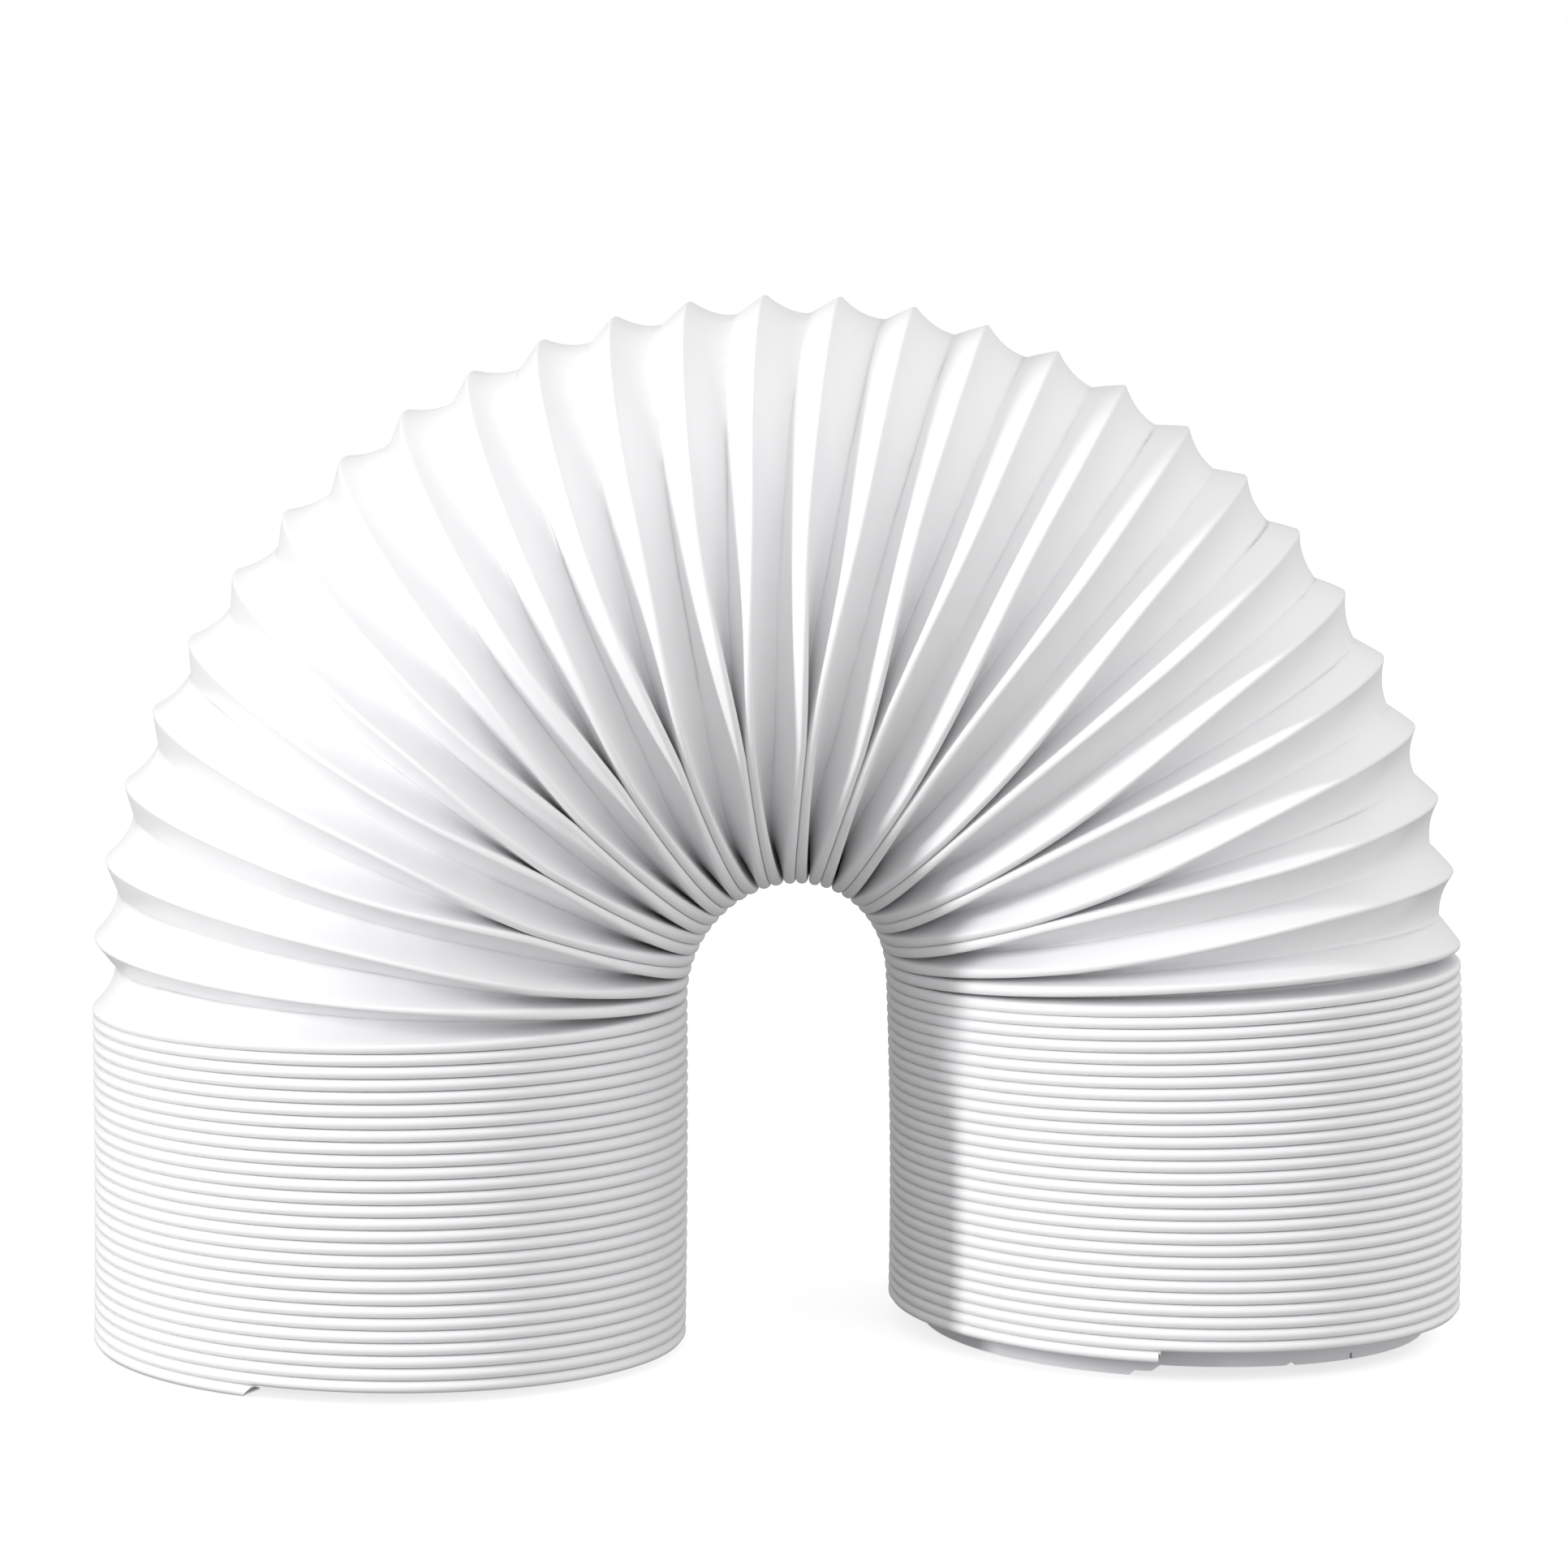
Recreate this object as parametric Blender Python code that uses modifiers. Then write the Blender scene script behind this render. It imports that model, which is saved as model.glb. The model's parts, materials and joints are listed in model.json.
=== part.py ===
"""Air conditioner exhaust hose: one strip of white plastic, wound round and round into a pleated tube.

The hose stands as an arch on its two ends. Its strip is pleated first as a straight, closed tube, with a
Screw modifier, and every point of it is then carried along the arch, where the pleats open on the outer side.
The hose's turns are counted from the left end. Two turns of the strip lock together in a bead, which is flat
in the closed stacks and a plain crest in the arch. The first bead's lower edge stands on the floor.
"""

import math

import bmesh
import bpy
from mathutils import Matrix, Vector

# The strip and its pleats, in metres
OUTER_RADIUS = 0.075
CLOSED_PITCH = 0.00303
BEAD_WIDTH = 0.00290
WEB_WIDTH = 0.0095
WEB_STRETCH = 0.95
WALL = 0.00045

# The hose along its length, in turns of the strip
LEFT_STACK_TURNS = 28.75
ARCH_TURNS = 28.0
RIGHT_STACK_TURNS = 30.125

# How the arch stands
LEFT_LEAN = math.radians(1.5)
SETTLING_TURNS = 5.0
COLLAR_HEIGHT = 0.0052

# Where the strip is cut off at the left end, as an angle from the outer side, towards the back
LEFT_CUT = math.radians(-67.5)
STEP_SHARE = 0.25

# The look
PLASTIC_COLOUR = (0.86, 0.86, 0.87, 1.0)
PLASTIC_ROUGHNESS = 0.28

# How finely the strip is wound, and how near two points lie when they count as one, in metres and in turns
STEPS_PER_TURN = 16
WELD_DISTANCE = 0.00005
SAME_STEP = 0.25 / STEPS_PER_TURN

# The lines of the wound strip, in turns past a bead's lower edge
UPPER_EDGE = 0.25
ROOT = 0.5
STEEPEST_LEAN = math.radians(60.0)
LEAN_HALVINGS = 60
FULL_TURN = 2.0 * math.pi

HOSE_TURNS = LEFT_STACK_TURNS + ARCH_TURNS + RIGHT_STACK_TURNS
STRIP_STEPS = round((HOSE_TURNS - 1.0) * STEPS_PER_TURN)
STRIP_TURNS = STRIP_STEPS / STEPS_PER_TURN
HALF_BEAD = BEAD_WIDTH / CLOSED_PITCH / 2.0
ROOT_RADIUS = OUTER_RADIUS - WEB_WIDTH


def clear_scene():
    """Remove what the scene holds."""
    for thing in list(bpy.data.objects):
        bpy.data.objects.remove(thing, do_unlink=True)


def plastic():
    """White, slightly glossy polypropylene."""
    material = bpy.data.materials.new("hose_plastic")
    material.use_nodes = True
    shader = material.node_tree.nodes["Principled BSDF"]
    shader.inputs["Base Color"].default_value = PLASTIC_COLOUR
    shader.inputs["Roughness"].default_value = PLASTIC_ROUGHNESS
    shader.inputs["Metallic"].default_value = 0.0
    material.diffuse_color = PLASTIC_COLOUR
    return material


def wound_strip():
    """The strip as a straight tube with closed pleats: a mesh whose points are one face's, then the other's."""
    lower_edge = (OUTER_RADIUS, 0.0, 0.0)
    upper_edge = (OUTER_RADIUS, 0.0, CLOSED_PITCH * UPPER_EDGE)
    root = (ROOT_RADIUS, 0.0, CLOSED_PITCH * ROOT)
    next_edge = (OUTER_RADIUS, 0.0, CLOSED_PITCH)
    profile = bpy.data.meshes.new("strip_section")
    profile.from_pydata([lower_edge, upper_edge, root, next_edge], [(0, 1), (1, 2), (2, 3)], [])
    wound = bpy.data.objects.new("wound_strip", profile)
    bpy.context.scene.collection.objects.link(wound)

    winding = wound.modifiers.new("winding", "SCREW")
    winding.axis = "Z"
    winding.angle = FULL_TURN * STRIP_TURNS
    winding.screw_offset = CLOSED_PITCH * STRIP_TURNS
    winding.iterations = 1
    winding.steps = STRIP_STEPS
    winding.render_steps = STRIP_STEPS
    winding.use_merge_vertices = False
    winding.use_smooth_shade = False

    locking = wound.modifiers.new("locked_edges", "WELD")
    locking.merge_threshold = WELD_DISTANCE

    wall = wound.modifiers.new("wall", "SOLIDIFY")
    wall.thickness = WALL
    wall.offset = 1.0
    wall.use_rim = True

    bpy.context.view_layer.update()
    evaluated = wound.evaluated_get(bpy.context.evaluated_depsgraph_get())
    mesh = bpy.data.meshes.new_from_object(evaluated)
    bpy.data.objects.remove(wound, do_unlink=True)
    bpy.data.meshes.remove(profile)
    return mesh


def chord_of(arc, angle):
    """The straight length between the ends of an arc that turns by an angle."""
    return arc * math.sin(angle / 2.0) / (angle / 2.0) if angle else arc


def smooth_step(share):
    """Rises gently from 0 at 0 to 1 at 1."""
    share = min(max(share, 0.0), 1.0)
    return share * share * (3.0 - 2.0 * share)


def stretches(right_lean):
    """Each stretch of the hose: its turns, how far it bends clockwise, and how far the middle moves each turn."""
    arch_bend = math.pi + LEFT_LEAN - right_lean
    opening = OUTER_RADIUS * arch_bend / ARCH_TURNS
    return (
        (LEFT_STACK_TURNS, -LEFT_LEAN, CLOSED_PITCH),
        (ARCH_TURNS, arch_bend, CLOSED_PITCH + opening),
        (RIGHT_STACK_TURNS, right_lean, CLOSED_PITCH),
    )


def middle_at(turn, course):
    """The middle of the hose at a turn: x, z, and the heading, counted up from level and to the right."""
    x, z, heading = 0.0, 0.0, math.pi / 2.0
    left = turn
    for index, (turns, bend, advance) in enumerate(course):
        here = left if index == len(course) - 1 else min(left, turns)
        angle = bend * here / turns
        chord = chord_of(advance * here, angle)
        x += chord * math.cos(heading - angle / 2.0)
        z += chord * math.sin(heading - angle / 2.0)
        heading -= angle
        left -= here
        if left <= 0.0:
            break
    return x, z, heading


def bend_at(turn, course):
    """How far the hose bends in one turn there, and how far its middle moves."""
    for turns, bend, advance in course:
        if turn <= turns:
            break
        turn -= turns
    return bend / turns, advance


def settled_course():
    """The course whose right stack leans so far that its collar reaches the floor."""
    low, high = -STEEPEST_LEAN, STEEPEST_LEAN
    for _ in range(LEAN_HALVINGS):
        lean = (low + high) / 2.0
        height = middle_at(HOSE_TURNS, stretches(lean))[1]
        if height > COLLAR_HEIGHT:
            high = lean
        else:
            low = lean
    return stretches(lean)


def pleat(turn, around, course):
    """The depth of the pleat there, and how far inwards its inner face lies."""
    bend, advance = bend_at(turn, course)
    pitch = advance + OUTER_RADIUS * math.cos(around) * bend
    slope = max(pitch - BEAD_WIDTH, 0.0) / 2.0
    slope = min(slope, WEB_STRETCH * WEB_WIDTH)
    depth = math.sqrt(WEB_WIDTH**2 - slope**2)
    fold = math.atan2(pitch / 2.0, depth)
    return depth, WALL / math.sin(fold)


def laid(turn, share):
    """The turn at which a point lies once the left end is pressed flat on the floor, save for its step."""
    reach = turn - share
    if reach < SETTLING_TURNS:
        step = smooth_step((share - 1.0 + STEP_SHARE) / STEP_SHARE)
        turn = step + reach * (share + SETTLING_TURNS - step) / SETTLING_TURNS
    return turn


def is_closed(turn):
    """True where a bead centred on that turn lies in one of the closed stacks."""
    return turn + HALF_BEAD <= LEFT_STACK_TURNS or turn - HALF_BEAD >= LEFT_STACK_TURNS + ARCH_TURNS


def carried(point, inner, course):
    """A point of the straight tube, carried to its place on the arch."""
    share = (math.atan2(point.y, point.x) / FULL_TURN) % 1.0
    if share > 1.0 - SAME_STEP:
        share = 0.0
    around = LEFT_CUT + share * FULL_TURN
    line = round((point.z / CLOSED_PITCH - share) / UPPER_EDGE) * UPPER_EDGE
    past_edge = line % 1.0
    before_end = (STRIP_TURNS - share) % 1.0
    if before_end > 1.0 - SAME_STEP:
        before_end = 0.0
    last_bead = round(STRIP_TURNS - before_end - share)
    on_collar = line > last_bead + UPPER_EDGE

    is_root = past_edge == ROOT
    bead = line if is_root else line - past_edge
    middle = laid(bead + share, share) + HALF_BEAD
    along = middle
    # A closed bead is flat outside, and the first edge stands as low inside; elsewhere both edges are one crest
    is_spread = is_closed(middle) and not is_root and (not inner or line == 0.0)
    if is_spread:
        along += HALF_BEAD if past_edge == UPPER_EDGE else -HALF_BEAD
    depth, inwards = pleat(min(along, HOSE_TURNS), around, course)
    radius = OUTER_RADIUS - depth if is_root else OUTER_RADIUS
    lift = 0.0
    if on_collar and not is_root:
        step = smooth_step((before_end - 1.0 + STEP_SHARE) / STEP_SHARE)
        radius = ROOT_RADIUS + (OUTER_RADIUS - ROOT_RADIUS) * step
        height = COLLAR_HEIGHT * step
        inwards = WALL
    elif on_collar:
        inwards = WALL
        lift = WALL if inner else 0.0
    if inner:
        radius -= inwards

    x, z, heading = middle_at(min(along, HOSE_TURNS), course)
    outwards = Vector((-math.sin(heading), 0.0, math.cos(heading)))
    place = Vector((x, 0.0, z)) + outwards * (radius * math.cos(around))
    place.y = radius * math.sin(around)
    if on_collar and not is_root:
        place.z = height
    place.z += lift
    return place


def hose():
    """The whole hose, standing on its two ends, with the middle of its length above the origin."""
    mesh = wound_strip()
    course = settled_course()
    half = len(mesh.vertices) // 2
    wound_points = [vertex.co.copy() for vertex in mesh.vertices[half:]]
    for index, vertex in enumerate(mesh.vertices):
        vertex.co = carried(wound_points[index % half], index >= half, course)
    shape = bmesh.new()
    shape.from_mesh(mesh)
    bmesh.ops.remove_doubles(shape, verts=shape.verts, dist=WELD_DISTANCE)
    shape.to_mesh(mesh)
    shape.free()
    across = [vertex.co.x for vertex in mesh.vertices]
    mesh.transform(Matrix.Translation((-(min(across) + max(across)) / 2.0, 0.0, 0.0)))
    mesh.name = "spiral_hose"
    mesh.materials.clear()
    mesh.materials.append(plastic())
    mesh.update()
    thing = bpy.data.objects.new("spiral_hose", mesh)
    collection = bpy.data.collections.new("air_conditioner_exhaust_hose")
    bpy.context.scene.collection.children.link(collection)
    collection.objects.link(thing)
    return thing


clear_scene()
hose()
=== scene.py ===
"""The looks of an air conditioner exhaust hose: a white, spiral-wound plastic hose standing as an arch.

The strip is pleated by Geometry Nodes. Its turns are counted from the left foot, and a section of one pleat
runs from the valley at a turn's start, over the bead where two turns lock together, to the next valley.
Angles round the hose are counted from its outer side, towards the back.
"""

import json
import math

import bmesh
import bpy
from bpy.props import FloatProperty, FloatVectorProperty, IntProperty, PointerProperty
from mathutils import Matrix, Vector

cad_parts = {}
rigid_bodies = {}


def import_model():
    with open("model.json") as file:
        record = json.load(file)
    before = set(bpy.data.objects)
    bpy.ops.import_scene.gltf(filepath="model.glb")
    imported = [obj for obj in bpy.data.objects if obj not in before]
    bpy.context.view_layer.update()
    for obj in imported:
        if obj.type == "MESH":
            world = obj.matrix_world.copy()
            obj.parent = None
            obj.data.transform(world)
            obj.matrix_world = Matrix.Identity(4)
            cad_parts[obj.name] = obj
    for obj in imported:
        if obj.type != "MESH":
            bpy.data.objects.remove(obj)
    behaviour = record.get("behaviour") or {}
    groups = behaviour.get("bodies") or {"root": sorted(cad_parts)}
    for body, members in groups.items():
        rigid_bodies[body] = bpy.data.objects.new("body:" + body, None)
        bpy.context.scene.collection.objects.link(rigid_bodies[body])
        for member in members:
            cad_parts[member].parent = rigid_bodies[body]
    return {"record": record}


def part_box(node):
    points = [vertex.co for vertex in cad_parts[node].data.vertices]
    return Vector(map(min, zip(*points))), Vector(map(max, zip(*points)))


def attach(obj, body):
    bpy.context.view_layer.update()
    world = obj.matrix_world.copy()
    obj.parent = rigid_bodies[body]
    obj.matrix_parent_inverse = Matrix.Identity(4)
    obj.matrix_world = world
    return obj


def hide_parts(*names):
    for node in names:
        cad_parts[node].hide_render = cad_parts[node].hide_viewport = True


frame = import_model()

bl_info = {
    "name": "Pleated Exhaust Hose",
    "version": (1, 0, 0),
    "blender": (4, 5, 0),
    "location": "3D View > Sidebar > Hose",
    "description": "Builds a spiral-wound, pleated air hose, standing as an arch",
    "category": "Object",
}

CAD_LOW, CAD_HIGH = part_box("spiral_hose")
FEET = {mount["name"]: mount["pos_m"] for mount in frame["record"]["mounts"]}
HOSE_NODE = "spiral_hose"

FULL_TURN = 2.0 * math.pi
UPWARDS = math.pi / 2.0
LEAN_HALVINGS = 60
SLIGHTEST_LEAN = math.radians(0.01)
STEEPEST_LEAN = math.radians(60.0)
WELD_DISTANCE = 0.00001


class HoseSizes(bpy.types.PropertyGroup):
    """The strip, its pleats and the way the hose stands."""

    crest_radius: FloatProperty(
        name="Crest Radius", description="Radius over the beads",
        default=(CAD_HIGH[1] - CAD_LOW[1]) / 2.0, unit="LENGTH")
    closed_pitch: FloatProperty(
        name="Closed Pitch", description="From bead to bead where the hose is pushed together",
        default=0.00303, unit="LENGTH")
    bead_width: FloatProperty(
        name="Bead Width", description="Width of the folded edges where two turns lock together",
        default=0.0029, unit="LENGTH")
    bead_rounding: FloatProperty(
        name="Bead Rounding", description="Radius of a bead's edges in a closed stack",
        default=0.00125, unit="LENGTH")
    crest_width: FloatProperty(
        name="Crest Width", description="Width of the ridge that a bead becomes where the pleats are open",
        default=0.0014, unit="LENGTH")
    crest_rounding: FloatProperty(
        name="Crest Rounding", description="Radius of that ridge's edges", default=0.0006, unit="LENGTH")
    web_width: FloatProperty(
        name="Web Width", description="Width of the strip from a bead to the valley",
        default=0.0095, unit="LENGTH")
    wall: FloatProperty(
        name="Wall", description="Thickness of the strip", default=0.00045, unit="LENGTH")
    left_turns: FloatProperty(
        name="Left Turns", description="Turns of the closed stack that stands at the left", default=28.75)
    arch_turns: FloatProperty(
        name="Arch Turns", description="Turns of the arch", default=28.0)
    right_turns: FloatProperty(
        name="Right Turns", description="Turns of the closed stack that stands at the right",
        default=30.125)
    left_lean: FloatProperty(
        name="Left Lean", description="How far the left stack bends away from the right one",
        default=math.radians(1.5), subtype="ANGLE")
    cut_angle: FloatProperty(
        name="Cut Angle", description="Where the strip starts, from the outer side towards the back",
        default=math.radians(-58.0), subtype="ANGLE")
    cut_slant: FloatProperty(
        name="Cut Slant", description="How far the slanted cut at the start runs back along the strip",
        default=0.0035, unit="LENGTH")
    end_angle: FloatProperty(
        name="End Angle", description="Where the strip ends, from the outer side towards the back",
        default=math.radians(-108.5), subtype="ANGLE")
    collar_height: FloatProperty(
        name="Collar Height", description="What shows of the strip's last web under the last bead",
        default=0.0052, unit="LENGTH")
    collar_radius: FloatProperty(
        name="Collar Radius", description="Radius of the collar under the right stack",
        default=0.0658, unit="LENGTH")
    fall_roundness: FloatProperty(
        name="Fall Roundness", default=1.75, min=1.0, max=2.0,
        description="How soon the web bows after a bead: 1 is straight, 2 an even bow")
    rise_roundness: FloatProperty(
        name="Rise Roundness", default=1.3, min=1.0, max=2.0,
        description="How late the web bows before a bead: 1 is straight, 2 an even bow")
    pairing: FloatProperty(
        name="Pairing", default=0.36,
        description="How far neighbouring beads lean together at the arch's sides, in turns")
    shear: FloatProperty(
        name="Shear", default=0.0165, unit="LENGTH",
        description="How far the arch's pleats lie to the left in front and to the right behind")
    valley_shift: FloatProperty(
        name="Valley Shift", default=0.26,
        description="How far a valley lies to the right of the middle, as a share of its width")
    wander: FloatProperty(
        name="Wander", description="How far a valley strays from the middle, as a share of its width",
        default=0.16)
    crumple: FloatProperty(
        name="Crumple", description="Depth of the dents along the valleys", default=0.001, unit="LENGTH")
    steps_per_turn: IntProperty(
        name="Steps per Turn", description="Points along one turn of the strip", default=128)
    stack_steps: IntProperty(
        name="Stack Steps", description="Points across a closed pleat", default=11)
    arch_steps: IntProperty(
        name="Arch Steps", description="Points across an open pleat", default=24)


class HoseFinishAndPaintedShade(bpy.types.PropertyGroup):
    """The colours of the plastic, and the grey of its painted shade."""

    plastic: FloatVectorProperty(
        name="Plastic", description="Colour of the white plastic", subtype="COLOR", size=4,
        default=(0.85, 0.85, 0.86, 1.0))
    # Painted shade: the grey that the plastic's colour is mixed towards where a piece carries painted
    # shade. Only the collar does, and this stands in for the shade under the last bead.
    painted_shade_colour: FloatVectorProperty(
        name="Painted Shade", description="Colour that shaded plastic leans to", subtype="COLOR", size=4,
        default=(0.42, 0.40, 0.44, 1.0))
    roughness: FloatProperty(
        name="Roughness", description="Roughness of the plastic", default=0.3, min=0.0, max=1.0)


class StudioSettings(bpy.types.PropertyGroup):
    """The floor, the lights and the camera."""

    floor: FloatVectorProperty(
        name="Floor", description="Colour of the floor", subtype="COLOR", size=4,
        default=(0.55, 0.55, 0.55, 1.0))
    floor_size: FloatProperty(
        name="Floor Size", description="Side of the floor", default=30.0, unit="LENGTH")
    front_light: FloatProperty(
        name="Front Light", description="Strength of the soft light from the viewer's side", default=0.97)
    back_light: FloatProperty(
        name="Back Light", description="Strength of the soft light from behind", default=0.5)
    top_light: FloatProperty(
        name="Top Light", description="Strength that the soft light gains overhead", default=0.25)
    side_light: FloatProperty(
        name="Side Light", default=0.22,
        description="Strength that the soft light gains at the right and loses at the left")
    floor_light: FloatProperty(
        name="Floor Light", description="Share of the soft light that comes from below", default=0.4)
    floor_glow: FloatProperty(
        name="Floor Glow", description="What keeps the floor white in the soft shadows", default=0.72)
    key_power: FloatProperty(
        name="Key Power", description="Power of the light at the left, in watts", default=44.0)
    key_angle: FloatProperty(
        name="Key Angle", description="How far the key light stands from straight in front to the left",
        subtype="ANGLE", default=math.radians(71.4))
    key_height: FloatProperty(
        name="Key Height", description="How far the key light stands above the level", subtype="ANGLE",
        default=math.radians(15.0))
    key_distance: FloatProperty(
        name="Key Distance", description="From the hose to the key light", default=2.6, unit="LENGTH")
    key_width: FloatProperty(
        name="Key Width", description="Width of the key light, a tall strip", default=0.12, unit="LENGTH")
    key_length: FloatProperty(
        name="Key Length", description="Height of the key light", default=0.9, unit="LENGTH")
    camera_place: FloatVectorProperty(
        name="Camera Place", description="Where the camera stands", subtype="TRANSLATION", unit="LENGTH",
        size=3, default=(-0.2142, -1.0856, 0.2406))
    camera_turn: FloatProperty(
        name="Camera Turn", description="How far the camera turns to the right", subtype="ANGLE",
        default=math.radians(10.975))
    camera_dip: FloatProperty(
        name="Camera Dip", description="How far the camera looks down", subtype="ANGLE",
        default=math.radians(5.078))
    camera_roll: FloatProperty(
        name="Camera Roll", description="How far the picture is turned clockwise", subtype="ANGLE",
        default=math.radians(1.218))
    lens: FloatProperty(
        name="Lens", description="Focal length on a sensor 36 mm wide, in millimetres", default=99.35)


class Term:
    """A number in a node tree. Arithmetic on it adds Math nodes, so a formula is written as one."""

    def __init__(self, bench, socket):
        self.bench = bench
        self.socket = socket

    def math(self, operation, *others):
        return self.bench.node("ShaderNodeMath", {"operation": operation}, (self, *others))

    def reflected(self, operation, other):
        return self.bench.node("ShaderNodeMath", {"operation": operation}, (other, self))

    def output(self, name):
        """Another output of the same node."""
        return Term(self.bench, self.socket.node.outputs[name])

    def __add__(self, other):
        return self.math("ADD", other)

    def __radd__(self, other):
        return self.reflected("ADD", other)

    def __sub__(self, other):
        return self.math("SUBTRACT", other)

    def __rsub__(self, other):
        return self.reflected("SUBTRACT", other)

    def __mul__(self, other):
        return self.math("MULTIPLY", other)

    def __rmul__(self, other):
        return self.reflected("MULTIPLY", other)

    def __truediv__(self, other):
        return self.math("DIVIDE", other)

    def __pow__(self, other):
        return self.math("POWER", other)

    def __neg__(self):
        return self.math("MULTIPLY", -1.0)

    def __abs__(self):
        return self.math("ABSOLUTE")

    def __gt__(self, other):
        return self.math("GREATER_THAN", other)

    def __lt__(self, other):
        return self.math("LESS_THAN", other)

    def sin(self):
        return self.math("SINE")

    def cos(self):
        return self.math("COSINE")

    def root(self):
        return self.math("SQRT")

    def at_most(self, other):
        return self.math("MINIMUM", other)

    def at_least(self, other):
        return self.math("MAXIMUM", other)

    def within(self, low, high):
        return self.at_least(low).at_most(high)

    def rising(self, low, high):
        """0 below low, 1 above high, and a smooth step between."""
        share = ((self - low) / (high - low)).within(0.0, 1.0)
        return share * share * (3.0 - 2.0 * share)


class Bench:
    """Adds nodes to one tree."""

    ROWS = 14
    COLUMN_WIDTH = 200
    ROW_HEIGHT = 180

    def __init__(self, tree):
        self.tree = tree

    def node(self, kind, settings=None, sockets=(), output=0):
        """A node of a type, with its settings made first and then its sockets filled or linked."""
        node = self.tree.nodes.new(kind)
        column, row = divmod(len(self.tree.nodes), self.ROWS)
        node.location = (column * self.COLUMN_WIDTH, -row * self.ROW_HEIGHT)
        for name, value in (settings or {}).items():
            setattr(node, name, value)
        pairs = sockets.items() if isinstance(sockets, dict) else enumerate(sockets)
        for key, value in pairs:
            if isinstance(value, Term):
                self.tree.links.new(value.socket, node.inputs[key])
            elif value is not None:
                node.inputs[key].default_value = value
        return Term(self, node.outputs[output]) if len(node.outputs) else node

    def vector(self, x=0.0, y=0.0, z=0.0):
        return self.node("ShaderNodeCombineXYZ", None, (x, y, z))


class Stretch:
    """One stretch of the hose: its turns, its bend and advance a turn, and the pivot it swings round."""

    def __init__(self, name, turns, bend, advance, start, heading):
        self.name = name
        self.turns = turns
        self.bend = bend / turns
        self.advance = advance
        self.swing = advance / self.bend
        self.pivot = start - self.swing * outwards(heading)
        self.heading = heading
        self.heading_after = heading - bend
        self.end = self.pivot + self.swing * outwards(self.heading_after)

    def place(self, turns_in, radius, around):
        """A point at some turns into the stretch, at a radius and an angle round the hose."""
        out = outwards(self.heading - self.bend * turns_in)
        point = self.pivot + (self.swing + radius * math.cos(around)) * out
        point.y = radius * math.sin(around)
        return point


def outwards(heading):
    """The direction square to a heading, towards the arch's outer side, in the plane of the arch."""
    return Vector((-math.sin(heading), 0.0, math.cos(heading)))


def laid_course(sizes, right_lean):
    """The three stretches of the hose, for a lean of the right stack."""
    arch_bend = math.pi + sizes.left_lean - right_lean
    opening = sizes.crest_radius * arch_bend / sizes.arch_turns
    plan = (
        ("Left", sizes.left_turns, -sizes.left_lean, sizes.closed_pitch),
        ("Arch", sizes.arch_turns, arch_bend, sizes.closed_pitch + opening),
        ("Right", sizes.right_turns, right_lean, sizes.closed_pitch),
    )
    place = Vector((FEET["left_end"][0], 0.0, 0.0))
    heading = UPWARDS
    course = []
    for name, turns, bend, advance in plan:
        stretch = Stretch(name, turns, bend, advance, place, heading)
        course.append(stretch)
        place, heading = stretch.end, stretch.heading_after
    return course


def course_on_floor(sizes):
    """The course whose right stack leans so far that its last bead is a collar's height above the floor."""
    low, high = SLIGHTEST_LEAN, STEEPEST_LEAN
    for _ in range(LEAN_HALVINGS):
        lean = (low + high) / 2.0
        if laid_course(sizes, lean)[-1].end.z > sizes.collar_height:
            high = lean
        else:
            low = lean
    return laid_course(sizes, lean)


def last_turn(sizes):
    """The turn of the last section of the strip, where it was cut off."""
    before_end = sizes.left_turns + sizes.arch_turns + sizes.right_turns - 1.0
    past_cut = (before_end - (sizes.end_angle - sizes.cut_angle) / FULL_TURN) % 1.0
    return round((before_end - past_cut) * sizes.steps_per_turn) / sizes.steps_per_turn


def new_tree(name, kind, inputs):
    """A node tree with a Group Input whose sockets are named, and each input's socket by its name."""
    tree = bpy.data.node_groups.new(name, kind)
    sockets = {}
    for title, socket_type in inputs:
        sockets[title] = tree.interface.new_socket(title, in_out="INPUT", socket_type=socket_type)
    tree.interface.new_socket("Geometry", in_out="OUTPUT", socket_type="NodeSocketGeometry")
    return tree, sockets


NUMBER = "NodeSocketFloat"
WHOLE = "NodeSocketInt"
PLACE = "NodeSocketVector"

STRETCHES = ("Left", "Arch", "Right")
STRETCH_INPUTS = (
    ("Turns", NUMBER), ("Bend", NUMBER), ("Advance", NUMBER), ("Swing", NUMBER), ("Pivot", PLACE),
)
SIZE_INPUTS = (
    ("Steps per Turn", WHOLE), ("Crest Radius", NUMBER), ("Bead Width", NUMBER), ("Bead Rounding", NUMBER),
    ("Crest Width", NUMBER), ("Crest Rounding", NUMBER), ("Web Width", NUMBER),
    ("Fall Roundness", NUMBER), ("Rise Roundness", NUMBER), ("Cut Angle", NUMBER), ("Cut Slant", NUMBER),
    ("Pairing", NUMBER), ("Shear", NUMBER), ("Valley Shift", NUMBER), ("Wander", NUMBER),
    ("Crumple", NUMBER),
)
HOSE_INPUTS = (
    ("First Turn", NUMBER), ("Turns", NUMBER), ("Steps across Pleat", WHOLE),
    ("Material", "NodeSocketMaterial"),
    *SIZE_INPUTS,
    *((f"{name} {title}", kind) for name in STRETCHES for title, kind in STRETCH_INPUTS),
)

# A pleat's points, as shares of the way from the bead's middle to the valley
BEAD_SHARE = 0.36
FLAT_SHARE = 0.15

# The slanted cut at the strip's start: from where it runs across the pleat, and its reach in turns
SLANT_START = 0.22
SLANT_REACH = 0.05

# How far a web may lie down, and the part of a bead's rounding that counts for its first slope
WEB_STRETCH = 0.95
EDGE_PART = 5.0

# Where beads lean in pairs: cosines round the hose, turns into the arch, and the room between two beads
PAIRING_STARTS = 0.40
PAIRING_FULL = -0.75
PAIRING_TURNS = 2.5
BEAD_CLEARANCE = 1.02

# Turns into the arch until its pleats have the whole shear
SHEAR_TURNS = 12.0

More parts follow.
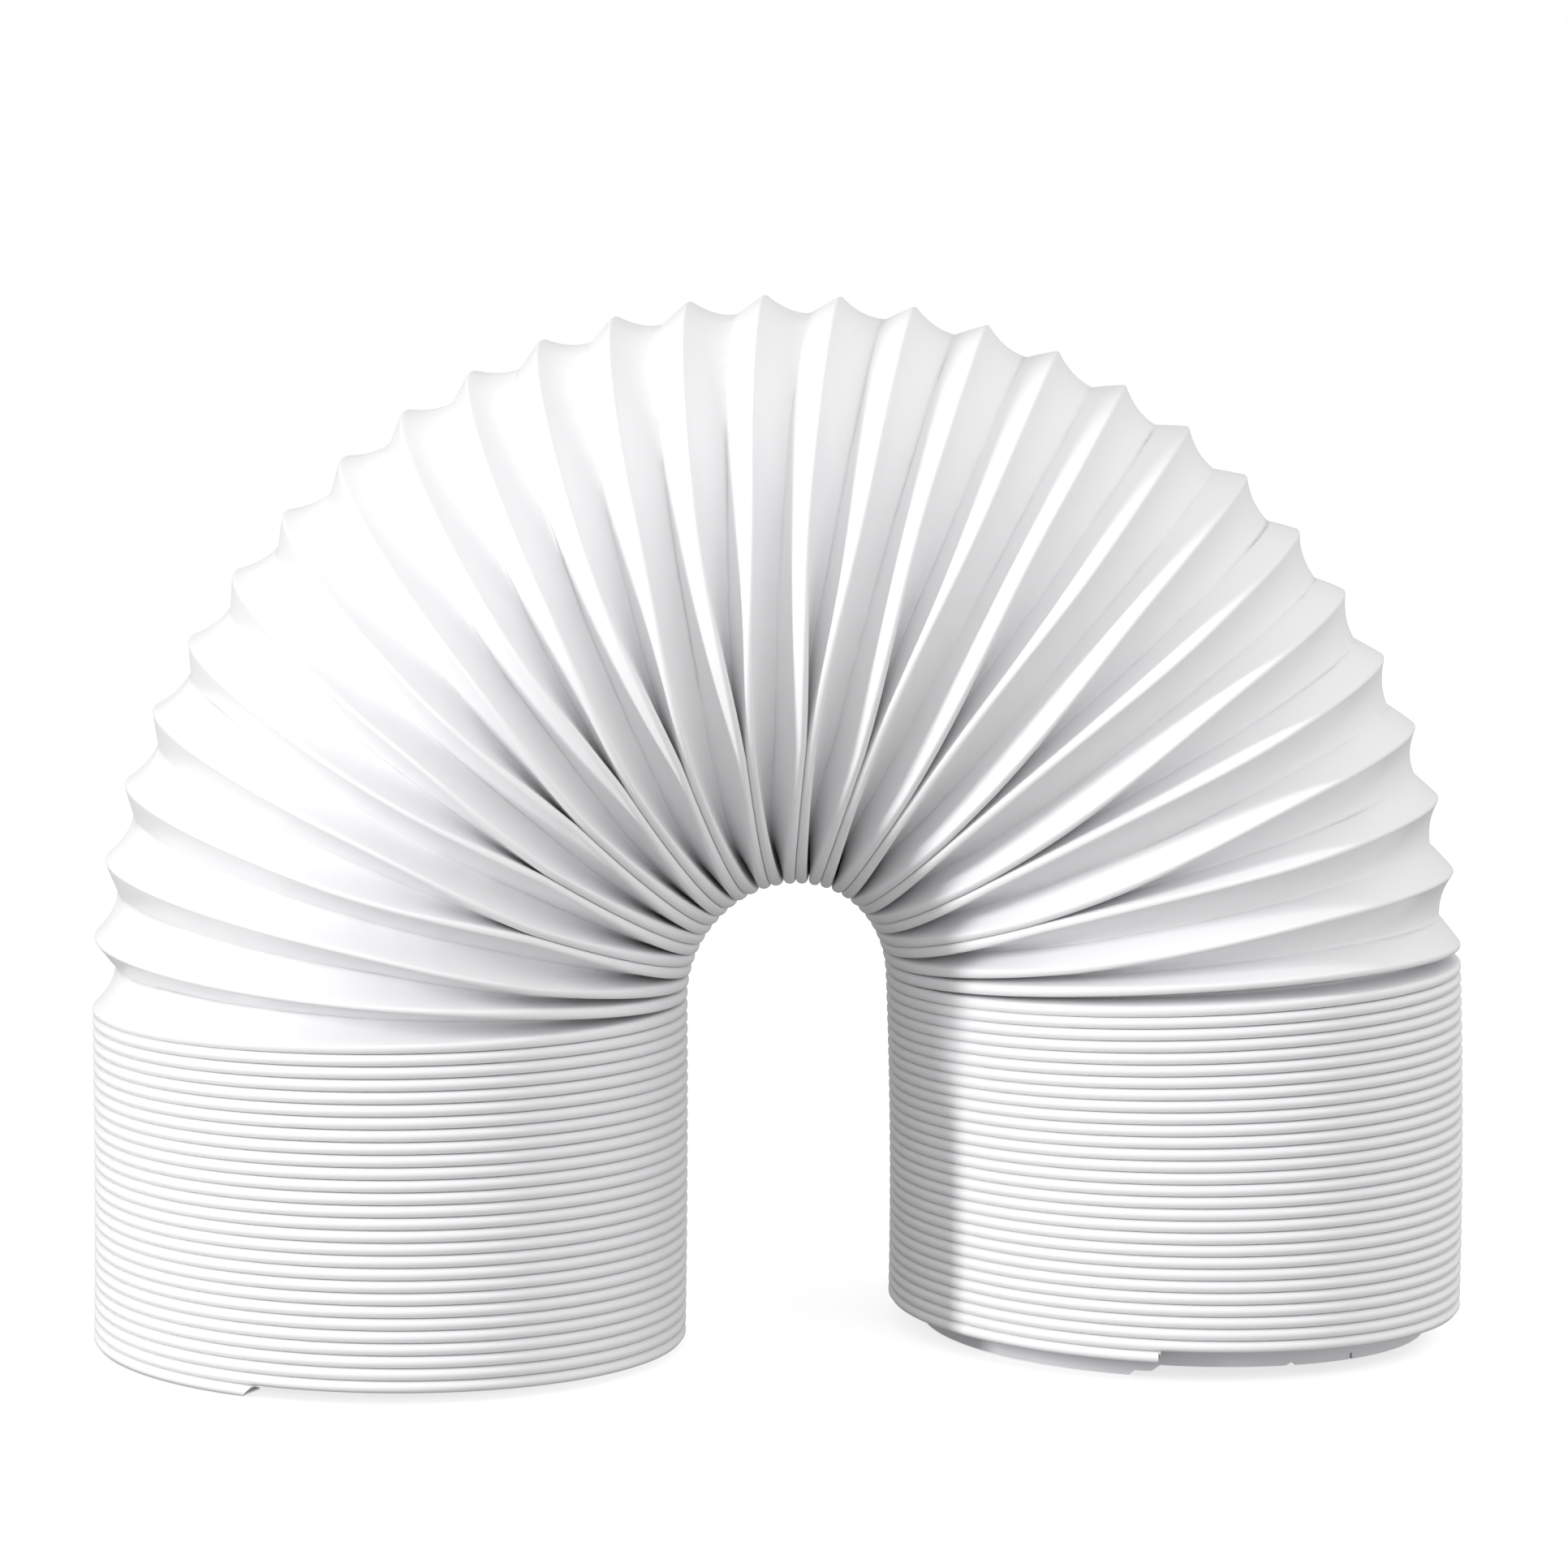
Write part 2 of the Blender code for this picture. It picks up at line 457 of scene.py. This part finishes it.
# A bead narrows to a ridge while half the spacing of the beads grows from one length to the other
OPENING_STARTS = 0.0018
OPENING_ENDS = 0.0055

# Noise along the valleys: how fast it varies round the hose and from turn to turn, and its detail
STRAY_NOISE = (1.6, 3.7, 3.0)
DENT_NOISE = (19.0, 5.3, 4.0)


class PleatFields:
    """The fields that carry a flat grid on to the pleated, bent and spiral-wound hose."""

    def __init__(self, bench, group):
        self.bench = bench
        self.given = {name: group.output(name) for name, _ in HOSE_INPUTS}
        self.read_grid()
        self.spread_crests()
        self.shape_section()

    def read_grid(self):
        """The turn of the strip, and how far across its pleat, from the place on the flat grid."""
        given = self.given
        self.rows = (given["Turns"] * given["Steps per Turn"]).math("ROUND")
        position = self.bench.node("GeometryNodeInputPosition")
        flat = self.bench.node("ShaderNodeSeparateXYZ", None, (position,))
        row = ((flat + 0.5) * self.rows).math("ROUND")
        square_turn = given["First Turn"] + row / given["Steps per Turn"]
        self.across = flat.output("Y") + 0.5
        low_on_bead = 1.0 - self.across.rising(SLANT_START, 1.0 - SLANT_START)
        near_start = 1.0 - (square_turn / SLANT_REACH).within(0.0, 1.0)
        slant = given["Cut Slant"] / (given["Crest Radius"] * FULL_TURN)
        self.turn = square_turn + slant * low_on_bead * near_start
        self.around = given["Cut Angle"] + self.turn * FULL_TURN
        self.cos_around = self.around.cos()
        self.sin_around = self.around.sin()
        reach = given["Crest Radius"] * self.cos_around
        self.pitches = [given[f"{name} Advance"] + reach * given[f"{name} Bend"] for name in STRETCHES]

    def by_stretch(self, quantity, turn):
        """A quantity a turn, such as the bend, added up from the left foot to a turn."""
        given = self.given
        past_left = turn - given["Left Turns"]
        in_left = turn.at_most(given["Left Turns"])
        in_arch = past_left.within(0.0, given["Arch Turns"])
        in_right = (past_left - given["Arch Turns"]).at_least(0.0)
        left, arch, right = quantity
        return left * in_left + arch * in_arch + right * in_right

    def turn_at(self, length):
        """The turn that lies at a length along the crests: the inverse of adding up the pitches."""
        given = self.given
        left, arch, right = self.pitches
        left_length = left * given["Left Turns"]
        arch_length = arch * given["Arch Turns"]
        past_left = length - left_length
        return (length.at_most(left_length) / left
                + past_left.within(0.0, arch_length) / arch
                + (past_left - arch_length).at_least(0.0) / right)

    def into_arch(self, turn, turns):
        """0 in the stacks, 1 from that many turns into the arch on, and a smooth step between."""
        past_left = turn - self.given["Left Turns"]
        before_right = self.given["Arch Turns"] - past_left
        return past_left.rising(0.0, turns) * before_right.rising(0.0, turns)

    def noise(self, turn, waves):
        """Smooth noise from -1 to 1 round the hose and from turn to turn."""
        sideways, onwards, detail = waves
        place = self.bench.vector(self.cos_around * sideways, self.sin_around * sideways, turn * onwards)
        value = self.bench.node(
            "ShaderNodeTexNoise", {"noise_dimensions": "3D"},
            {"Vector": place, "Scale": 1.0, "Detail": detail, "Roughness": 0.5})
        return (value - 0.5) * 2.0

    def spread_crests(self):
        """Where this bead and its neighbours lie along the crests, and half the spacing on this side."""
        inner_side = 1.0 - self.cos_around.rising(PAIRING_FULL, PAIRING_STARTS)
        self.pairing = self.given["Pairing"] * inner_side
        self.partner = ((self.around / 2.0).sin() * math.sqrt(2.0)).within(-1.0, 1.0)
        self.shear = self.given["Shear"] * self.sin_around
        self.crest = self.crest_length(0.5, 1.0)
        before = self.crest_length(-0.5, -1.0)
        after = self.crest_length(1.5, -1.0)
        self.side = (self.across - 0.5).math("SIGN")
        self.is_after = self.across > 0.5
        self.reach = ((self.crest - before) * (1.0 - self.is_after)
                      + (after - self.crest) * self.is_after) / 2.0
        self.opened = self.reach.rising(OPENING_STARTS, OPENING_ENDS)

    def crest_length(self, turns_on, sign):
        """How far along the crests a bead lies, sheared with the arch and leant towards its partner."""
        crest_turn = self.turn + turns_on
        squeeze = self.shear * (self.into_arch(crest_turn + 0.5, SHEAR_TURNS)
                                - self.into_arch(crest_turn - 0.5, SHEAR_TURNS))
        spare = (1.0 + (squeeze - self.given["Bead Width"] * BEAD_CLEARANCE) / self.pitches[1]) / 2.0
        lean = self.pairing.at_most(spare).at_least(0.0)
        leant = crest_turn + lean * self.partner * sign * self.into_arch(crest_turn, PAIRING_TURNS)
        return self.by_stretch(self.pitches, leant) + self.shear * self.into_arch(crest_turn, SHEAR_TURNS)

    def shape_section(self):
        """The section of the pleat: a rounded bead, and a bowed web that runs down to the valley."""
        given = self.given
        opened, reach = self.opened, self.reach
        rise, fall = given["Rise Roundness"], given["Fall Roundness"]
        roundness = rise * (1.0 - self.is_after) + fall * self.is_after
        half_bead = (given["Bead Width"] * (1.0 - opened) + given["Crest Width"] * opened) / 2.0
        rounding = given["Bead Rounding"] * (1.0 - opened) + given["Crest Rounding"] * opened
        flat_top = half_bead - rounding
        web_width = given["Web Width"] + given["Bead Width"] / 2.0 - half_bead
        self.web_run = (reach - half_bead).within(0.0, web_width * WEB_STRETCH)
        depth = (web_width ** 2.0 - self.web_run * self.web_run).root()
        steepness = roundness * (depth - rounding / 2.0)
        edge = steepness.math("ARCTAN2", (reach - half_bead + rounding / EDGE_PART))

        from_crest = abs(self.across * 2.0 - 1.0)
        on_bead = (from_crest / BEAD_SHARE).at_most(1.0)
        self.on_web = ((from_crest - BEAD_SHARE) / (1.0 - BEAD_SHARE)).at_least(0.0)
        over_edge = edge * ((on_bead - FLAT_SHARE) / (1.0 - FLAT_SHARE)).at_least(0.0)
        bead_reach = flat_top + rounding * edge.sin()
        bead_drop = rounding * (1.0 - edge.cos())
        bow = 2.0 * self.on_web * (1.0 - self.on_web)
        square = self.on_web * self.on_web
        self.along = (flat_top * (on_bead / FLAT_SHARE).at_most(1.0) + rounding * over_edge.sin()
                      + (reach - bead_reach) * (bow / roundness + square))
        self.drop = rounding * (1.0 - over_edge.cos()) + (depth - bead_drop) * (bow + square)

    def place(self):
        """Where a point of the grid lies on the hose."""
        given = self.given
        valley = self.turn + self.is_after
        square = self.on_web * self.on_web
        shift = self.noise(valley, STRAY_NOISE) * given["Wander"] + given["Valley Shift"]
        stray = shift * self.web_run * square
        by_valley = self.on_web * self.on_web * self.on_web * self.opened
        dent = self.noise(valley, DENT_NOISE) * given["Crumple"] * by_valley
        length = self.crest + self.side * self.along + stray
        radius = given["Crest Radius"] - self.drop - dent

        here = self.turn_at(length)
        heading = UPWARDS - self.by_stretch([given[f"{name} Bend"] for name in STRETCHES], here)
        in_left = here < given["Left Turns"]
        in_right = here > (given["Left Turns"] + given["Arch Turns"])
        shares = (in_left, 1.0 - in_left - in_right, in_right)
        left, arch, right = [given[f"{name} Swing"] * share for name, share in zip(STRETCHES, shares)]
        out = left + arch + right + radius * self.cos_around
        place = self.bench.vector(-(out * heading.sin()), radius * self.sin_around, out * heading.cos())
        for name, share in zip(STRETCHES, shares):
            pivot = self.bench.node("ShaderNodeVectorMath", {"operation": "SCALE"},
                                    {0: given[f"{name} Pivot"], "Scale": share})
            place = self.bench.node("ShaderNodeVectorMath", {"operation": "ADD"}, (place, pivot))
        return place


def pleated_length_tree():
    """Geometry Nodes for one length of the hose."""
    tree, sockets = new_tree("pleated_length", "GeometryNodeTree", HOSE_INPUTS)
    bench = Bench(tree)
    fields = PleatFields(bench, bench.node("NodeGroupInput"))
    given = fields.given
    grid = bench.node("GeometryNodeMeshGrid", None, {
        "Size X": 1.0, "Size Y": 1.0,
        "Vertices X": fields.rows + 1.0, "Vertices Y": given["Steps across Pleat"] + 1.0})
    pleated = bench.node("GeometryNodeSetPosition", None, {"Geometry": grid, "Position": fields.place()})

    # Both attributes are worked out on the moved points, so they vary through the arch, not along the strip
    drawn = bench.vector(fields.turn * FULL_TURN * given["Crest Radius"], fields.side * fields.along)
    mapped = bench.node(
        "GeometryNodeStoreNamedAttribute", {"data_type": "FLOAT2", "domain": "CORNER"},
        {"Geometry": pleated, "Name": "grain", "Value": drawn})
    opening = bench.node(
        "GeometryNodeStoreNamedAttribute", {"data_type": "FLOAT", "domain": "POINT"},
        {"Geometry": mapped, "Name": "relief", "Value": fields.opened})

    welded = bench.node("GeometryNodeMergeByDistance", None, {
        "Geometry": opening, "Distance": WELD_DISTANCE})
    outward = bench.node("GeometryNodeFlipFaces", None, {"Mesh": welded})
    smooth = bench.node("GeometryNodeSetShadeSmooth", None, {"Geometry": outward})
    beside_border = bench.node("GeometryNodeInputMeshEdgeNeighbors") < 2.0
    crisp = bench.node("GeometryNodeSetShadeSmooth", {"domain": "EDGE"},
                       {"Geometry": smooth, "Selection": beside_border, "Shade Smooth": False})
    real = bench.node("GeometryNodeRealizeInstances", None, {"Geometry": crisp})
    dressed = bench.node("GeometryNodeSetMaterial", None, {
        "Geometry": real, "Material": given["Material"]})
    bench.node("NodeGroupOutput", None, (dressed,))
    return tree, sockets


def collection_for(name):
    """The collection of that name, made and linked when it is missing."""
    found = bpy.data.collections.get(name)
    if found is None:
        found = bpy.data.collections.new(name)
        bpy.context.scene.collection.children.link(found)
    return found


def hose_collection():
    return collection_for("exhaust_hose")


def grown(name, tree, sockets, values):
    """A piece grown by a node tree with these values, as a plain mesh at the origin."""
    seed = bpy.data.objects.new(name, bpy.data.meshes.new(name))
    hose_collection().objects.link(seed)
    modifier = seed.modifiers.new("growth", "NODES")
    modifier.node_group = tree
    for title, value in values.items():
        modifier[sockets[title].identifier] = value
    depsgraph = bpy.context.evaluated_depsgraph_get()
    evaluated = seed.evaluated_get(depsgraph)
    mesh = bpy.data.meshes.new_from_object(evaluated, preserve_all_data_layers=True, depsgraph=depsgraph)
    seed.modifiers.remove(modifier)
    spare = seed.data
    seed.data = mesh
    mesh.name = name
    bpy.data.meshes.remove(spare)
    return seed


def finished_piece(piece, wall):
    """Gives the strip its wall, inwards from the outer face, and hands the piece over."""
    solid = piece.modifiers.new("wall", "SOLIDIFY")
    solid.thickness = wall
    solid.offset = -1.0
    solid.use_rim = True
    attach(piece, "root")
    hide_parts(HOSE_NODE)


def course_values(course):
    """A course as the tree's inputs."""
    values = {}
    for stretch in course:
        for title, _ in STRETCH_INPUTS:
            values[f"{stretch.name} {title}"] = getattr(stretch, title.lower())
    return values


# The plastic's grain: how fine each noise is, and how much it lifts the surface
MOTTLE = {"Scale": 60.0, "Detail": 4.0, "Roughness": 0.55}
DENTS = {"Scale": 140.0, "Detail": 3.0, "Roughness": 0.5}
GRAIN = {"Scale": 1.0, "Detail": 2.0}
GRAIN_LENGTHWISE = 12.0
GRAIN_CROSSWISE = 900.0
MOTTLE_RELIEF = 0.3
DENT_RELIEF = 0.8
OPEN_GRAIN_RELIEF = 0.14
GRAIN_RELIEF = 0.03
RELIEF_STRENGTH = 0.3
RELIEF_HEIGHT = 0.0006
ROUGHNESS_SPREAD = 0.1
PLASTIC_IOR = 1.49


def white_plastic(finish_and_painted_shade):
    """Glossy white polypropylene, with a faint grain, and painted shade: greyer where a piece carries the
    painted_shade attribute.
    """
    material = bpy.data.materials.get("white_polypropylene")
    if material is not None:
        return material
    material = bpy.data.materials.new("white_polypropylene")
    material.use_nodes = True
    material.diffuse_color = finish_and_painted_shade.plastic
    tree = material.node_tree
    tree.nodes.clear()
    bench = Bench(tree)
    coordinates = bench.node("ShaderNodeTexCoord", None, (), "Object")
    painted_shade = bench.node("ShaderNodeAttribute", {"attribute_name": "painted_shade"}, (), "Fac")
    relief = bench.node("ShaderNodeAttribute", {"attribute_name": "relief"}, (), "Fac")
    strip = bench.node("ShaderNodeAttribute", {"attribute_name": "grain"}, (), "Vector")
    along = bench.node("ShaderNodeSeparateXYZ", None, (strip,))
    across = along.output("Y")
    mottle = bench.node("ShaderNodeTexNoise", None, {"Vector": coordinates, **MOTTLE})
    dents = bench.node("ShaderNodeTexNoise", None, {"Vector": coordinates, **DENTS})
    drawn = bench.vector(along * GRAIN_LENGTHWISE, across * GRAIN_CROSSWISE)
    grain = bench.node("ShaderNodeTexNoise", None, {"Vector": drawn, **GRAIN})
    # Painted shade: the base colour is mixed towards the grey by the painted_shade attribute. Only the
    # collar carries it, and elsewhere it reads 0, so the plastic stays white.
    colour = bench.node(
        "ShaderNodeMix", {"data_type": "RGBA"},
        {"Factor": painted_shade, "A": tuple(finish_and_painted_shade.plastic), "B": tuple(finish_and_painted_shade.painted_shade_colour)}, "Result")
    open_relief = dents * DENT_RELIEF + mottle * MOTTLE_RELIEF + grain * OPEN_GRAIN_RELIEF
    height = relief * open_relief + grain * GRAIN_RELIEF
    bump = bench.node("ShaderNodeBump", None, {
        "Strength": RELIEF_STRENGTH, "Distance": RELIEF_HEIGHT, "Height": height})
    shader = bench.node("ShaderNodeBsdfPrincipled", None, {
        "Base Color": colour, "Roughness": finish_and_painted_shade.roughness + (mottle - 0.5) * ROUGHNESS_SPREAD,
        "Normal": bump})
    shader.socket.node.inputs["IOR"].default_value = PLASTIC_IOR
    bench.node("ShaderNodeOutputMaterial", None, (shader,))
    return material


# The share of a turn from the strip's start to the back of the hose, where two lengths meet
BACK_SHARE = 5.0 / 12.0


class HOSE_OT_pleated_lengths(bpy.types.Operator):
    """Winds the pleated strip: the left stack, the two halves of the arch and the right stack"""

    bl_idname = "hose.pleated_lengths"
    bl_label = "Pleated Lengths"

    def execute(self, context):
        sizes = context.scene.hose_sizes
        tree, sockets = pleated_length_tree()
        plastic = white_plastic(context.scene.hose_finish)
        back = round(sizes.steps_per_turn * BACK_SHARE) / sizes.steps_per_turn
        arch_start = math.floor(sizes.left_turns) - 1.0 + back
        arch_end = math.floor(sizes.left_turns + sizes.arch_turns) + 1.0 + back
        middle = round((arch_start + arch_end) / 2.0 - back) + back
        hose_end = last_turn(sizes)
        plan = (
            ("hose_left_stack", 0.0, arch_start, sizes.stack_steps),
            ("hose_arch_left", arch_start, middle, sizes.arch_steps),
            ("hose_arch_right", middle, arch_end, sizes.arch_steps),
            ("hose_right_stack", arch_end, hose_end, sizes.stack_steps),
        )
        shared = {title: getattr(sizes, title.lower().replace(" ", "_")) for title, _ in SIZE_INPUTS}
        shared.update(course_values(course_on_floor(sizes)), Material=plastic)
        for name, first, last, steps in plan:
            values = {"First Turn": first, "Turns": last - first, "Steps across Pleat": steps, **shared}
            piece = grown(name, tree, sockets, values)
            finished_piece(piece, sizes.wall)
        return {"FINISHED"}


COLLAR_STEPS = 192
COLLAR_LEVELS = 4
# Painted shade: the whole collar is mixed this far towards the grey, as if shaded under the last bead
COLLAR_PAINTED_SHADE = 0.5478

# The step in the hem at the strip's end: the length before the end, and the height as a share of the pitch
STEP_CORNERS = ((0.0, 1.0), (0.0022, 0.45), (0.0064, 0.45), (0.0078, 0.0))

# Nicks in the hem: the angle from the outer side, half the width, the depth and how far the tip leans
NICKS = (
    (math.radians(-79.2), 0.0014, 0.0009, 0.0004),
    (math.radians(-63.1), 0.0005, 0.0015, 0.0006),
)
NICK_CLEARANCE = 1.5


def hem_height(share, girth, pitch):
    """The height of the cut edge above the floor: it climbs by a pitch, in steps where the strip ends."""
    before_end = (1.0 - share) * girth
    for (near, near_height), (far, far_height) in zip(STEP_CORNERS, STEP_CORNERS[1:]):
        if near <= before_end <= far:
            blend = (before_end - near) / (far - near)
            return pitch * (near_height + (far_height - near_height) * blend)
    return pitch * (1.0 - share)


def nick_shares(sizes, girth):
    """Each nick, with its place and its widths as shares of the turn from the strip's end."""
    return [((angle - sizes.end_angle) / FULL_TURN % 1.0, half_width / girth, depth, lean / girth)
            for angle, half_width, depth, lean in NICKS]


def collar_shares(nicks, girth):
    """Where the collar has its rows: evenly round the hose, at the corners of the step and at the nicks."""
    shares = {step / COLLAR_STEPS for step in range(COLLAR_STEPS + 1)}
    shares |= {1.0 - before_end / girth for before_end, _ in STEP_CORNERS}
    for middle, half, _, _ in nicks:
        shares = {share for share in shares if abs(share - middle) > half * NICK_CLEARANCE}
        shares |= {middle - half, middle, middle + half}
    return sorted(shares)


def collar_rows(shape, sizes):
    """The collar's rows of points, each from the strip's last valley down to the hem."""
    stretch = course_on_floor(sizes)[-1]
    start = last_turn(sizes) - sizes.left_turns - sizes.arch_turns
    girth = FULL_TURN * sizes.collar_radius
    root_radius = sizes.crest_radius - sizes.web_width
    end_level = stretch.place(start + 1.0, root_radius, sizes.end_angle).z
    nicks = nick_shares(sizes, girth)
    tips = {middle: (depth, lean) for middle, _, depth, lean in nicks}
    rows = []
    for share in collar_shares(nicks, girth):
        around = sizes.end_angle + share * FULL_TURN
        nick, lean = tips.get(share, (0.0, 0.0))
        hem = hem_height(share, girth, sizes.closed_pitch) + nick
        row = [shape.verts.new(stretch.place(start + share, root_radius, around))]
        for level in range(COLLAR_LEVELS + 1):
            down = level / COLLAR_LEVELS
            turned = around + (lean * FULL_TURN if level == COLLAR_LEVELS else 0.0)
            radius = root_radius + (sizes.collar_radius - root_radius) * down
            point = stretch.place(start + share, radius, turned)
            point.z = end_level + (hem - end_level) * down
            row.append(shape.verts.new(point))
        rows.append(row)
    return rows


class HOSE_OT_collar(bpy.types.Operator):
    """Makes the collar: what is left of the strip's last web, hanging below the last bead at the right"""

    bl_idname = "hose.collar"
    bl_label = "Collar"

    def execute(self, context):
        sizes = context.scene.hose_sizes
        shape = bmesh.new()
        rows = collar_rows(shape, sizes)
        for row, following in zip(rows, rows[1:]):
            for index in range(COLLAR_LEVELS + 1):
                shape.faces.new((row[index], row[index + 1], following[index + 1], following[index]))
        bmesh.ops.remove_doubles(shape, verts=shape.verts, dist=WELD_DISTANCE)
        bmesh.ops.dissolve_degenerate(shape, edges=shape.edges, dist=WELD_DISTANCE)
        # Painted shade: every point of the collar carries the same mix towards the grey
        painted_shade = shape.verts.layers.float.new("painted_shade")
        for corner in shape.verts:
            corner[painted_shade] = COLLAR_PAINTED_SHADE
        for face in shape.faces:
            face.smooth = True
        for edge in shape.edges:
            edge.smooth = not edge.is_boundary
        mesh = bpy.data.meshes.new("hose_collar")
        shape.to_mesh(mesh)
        shape.free()
        mesh.materials.append(white_plastic(context.scene.hose_finish))
        piece = bpy.data.objects.new("hose_collar", mesh)
        hose_collection().objects.link(piece)
        finished_piece(piece, sizes.wall)
        return {"FINISHED"}


class HOSE_OT_studio(bpy.types.Operator):
    """Makes the floor, the lights, the surround and the camera"""

    bl_idname = "hose.studio"
    bl_label = "Studio"

    def execute(self, context):
        scene = context.scene
        studio = scene.hose_studio
        stage_objects = collection_for("studio").objects
        floor = studio_floor(studio)
        stage_objects.link(floor)
        stage_objects.link(key_light(studio))
        scene.world = soft_surround(studio)
        scene.camera = studio_camera(studio)
        stage_objects.link(scene.camera)
        scene.view_settings.view_transform = "Standard"
        return {"FINISHED"}


def studio_floor(studio):
    """A pale floor that glows a little and throws no light of its own on the hose."""
    half = studio.floor_size / 2.0
    mesh = bpy.data.meshes.new("studio_floor")
    mesh.from_pydata([(-half, -half, 0.0), (half, -half, 0.0), (half, half, 0.0), (-half, half, 0.0)], [],
                     [(0, 1, 2, 3)])
    paint = bpy.data.materials.new("pale_floor")
    paint.use_nodes = True
    shader = paint.node_tree.nodes["Principled BSDF"]
    shader.inputs["Base Color"].default_value = studio.floor
    shader.inputs["Roughness"].default_value = 1.0
    shader.inputs["Specular IOR Level"].default_value = 0.0
    shader.inputs["Emission Color"].default_value = (1.0, 1.0, 1.0, 1.0)
    shader.inputs["Emission Strength"].default_value = studio.floor_glow
    mesh.materials.append(paint)
    floor = bpy.data.objects.new("studio_floor", mesh)
    floor.visible_diffuse = False
    floor.visible_glossy = False
    return floor


def key_light(studio):
    """The tall strip light at the left, which lights the hose and leaves the floor alone."""
    lamp = bpy.data.lights.new("key_light", "AREA")
    lamp.shape = "RECTANGLE"
    lamp.size = studio.key_width
    lamp.size_y = studio.key_length
    lamp.energy = studio.key_power
    middle = Vector((0.0, 0.0, CAD_HIGH[2] / 2.0))
    level = math.cos(studio.key_height)
    towards = Vector((-math.sin(studio.key_angle) * level, -math.cos(studio.key_angle) * level,
                      math.sin(studio.key_height)))
    key = bpy.data.objects.new("key_light", lamp)
    key.location = middle + towards * studio.key_distance
    key.rotation_euler = (middle - key.location).to_track_quat("-Z", "Y").to_euler()
    key.light_linking.receiver_collection = hose_collection()
    return key


# Where the surround's brightness changes, along the direction's height (first two) and its depth
OVERHEAD = (0.2, 0.9)
BELOW = (-0.4, 0.0)
BEHIND = (-0.7, 0.7)


def soft_surround(studio):
    """Soft light from all around, strongest from the viewer's side, before a white backdrop."""
    world = bpy.data.worlds.new("soft_surround")
    world.use_nodes = True
    world.node_tree.nodes.clear()
    bench = Bench(world.node_tree)
    direction = bench.node("ShaderNodeTexCoord", None, (), "Generated")
    ahead = bench.node("ShaderNodeSeparateXYZ", None, (direction,), "Y")
    sideways = ahead.output("X") * studio.side_light
    overhead = ahead.output("Z").rising(*OVERHEAD)
    below = 1.0 - ahead.output("Z").rising(*BELOW)
    behind = ahead.rising(*BEHIND)
    around = studio.front_light * (1.0 - behind) + studio.back_light * behind
    above = around + sideways + studio.top_light * overhead
    strength = above * (1.0 - below * (1.0 - studio.floor_light))
    is_backdrop = bench.node("ShaderNodeLightPath", None, (), "Is Camera Ray")
    seen = strength * (1.0 - is_backdrop) + is_backdrop
    light = bench.node("ShaderNodeBackground", None, {"Color": (1.0, 1.0, 1.0, 1.0), "Strength": seen})
    bench.node("ShaderNodeOutputWorld", None, (light,))
    return world


SENSOR_WIDTH = 36.0
FARTHEST_SEEN = 100.0


def studio_camera(studio):
    """The camera at the photo's angle."""
    lens = bpy.data.cameras.new("camera")
    lens.sensor_width = SENSOR_WIDTH
    lens.lens = studio.lens
    lens.clip_end = FARTHEST_SEEN
    camera = bpy.data.objects.new("camera", lens)
    camera.matrix_world = camera_matrix(studio)
    return camera


def camera_matrix(studio):
    """The camera's place and turn as one matrix."""
    turn, dip, roll = studio.camera_turn, studio.camera_dip, studio.camera_roll
    ahead = Vector((math.sin(turn) * math.cos(dip), math.cos(turn) * math.cos(dip), -math.sin(dip)))
    right = Vector((math.cos(turn), -math.sin(turn), 0.0))
    up = right.cross(ahead)
    rolled_right = math.cos(roll) * right + math.sin(roll) * up
    rolled_up = math.cos(roll) * up - math.sin(roll) * right
    matrix = Matrix((rolled_right, rolled_up, -ahead)).transposed().to_4x4()
    matrix.translation = Vector(studio.camera_place)
    return matrix


class HOSE_PT_sidebar(bpy.types.Panel):
    """Lists what builds the hose"""

    bl_label = "Exhaust Hose"
    bl_idname = "HOSE_PT_sidebar"
    bl_space_type = "VIEW_3D"
    bl_region_type = "UI"
    bl_category = "Hose"

    def draw(self, context):
        for group in (context.scene.hose_sizes, context.scene.hose_finish, context.scene.hose_studio):
            box = self.layout.box()
            for name in group.__annotations__:
                box.prop(group, name)
        for operator in OPERATORS:
            self.layout.operator(operator.bl_idname)


OPERATORS = (HOSE_OT_pleated_lengths, HOSE_OT_collar, HOSE_OT_studio)
GROUPS = (
    ("hose_sizes", HoseSizes),
    ("hose_finish", HoseFinishAndPaintedShade),
    ("hose_studio", StudioSettings),
)


def register():
    for name, group in GROUPS:
        bpy.utils.register_class(group)
        setattr(bpy.types.Scene, name, PointerProperty(type=group))
    for operator in OPERATORS:
        bpy.utils.register_class(operator)
    bpy.utils.register_class(HOSE_PT_sidebar)


def unregister():
    bpy.utils.unregister_class(HOSE_PT_sidebar)
    for operator in reversed(OPERATORS):
        bpy.utils.unregister_class(operator)
    for name, group in reversed(GROUPS):
        delattr(bpy.types.Scene, name)
        bpy.utils.unregister_class(group)


def main():
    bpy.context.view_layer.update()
    register()
    bpy.ops.hose.pleated_lengths()
    bpy.ops.hose.collar()
    bpy.ops.hose.studio()


if __name__ == "__main__":
    main()
